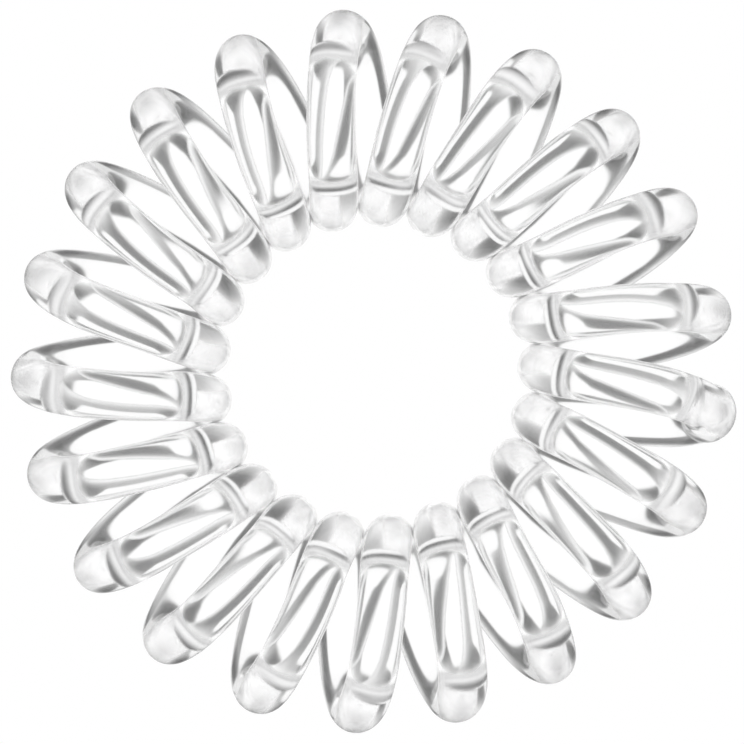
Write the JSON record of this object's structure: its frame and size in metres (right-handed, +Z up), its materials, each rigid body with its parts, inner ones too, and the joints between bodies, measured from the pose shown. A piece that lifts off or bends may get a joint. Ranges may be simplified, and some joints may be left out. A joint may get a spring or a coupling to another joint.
{
  "type": "spiral hair tie",
  "caption": "Clear spiral hair tie: round flexible plastic wire wound as a close coil, closed into a ring that grips a gathered ponytail.",
  "frame": {"origin": "centre of the ring, on the surface that it lies on", "axes": "+Z up along the ring's axis, +Y to the first loops at the back, +X to the right"},
  "size_m": [0.036, 0.036, 0.0076],
  "materials": {
    "clear_plastic": "clear, glossy"
  },
  "bodies": {
    "root": {"coil": "clear_plastic"}
  },
  "joints": []
}
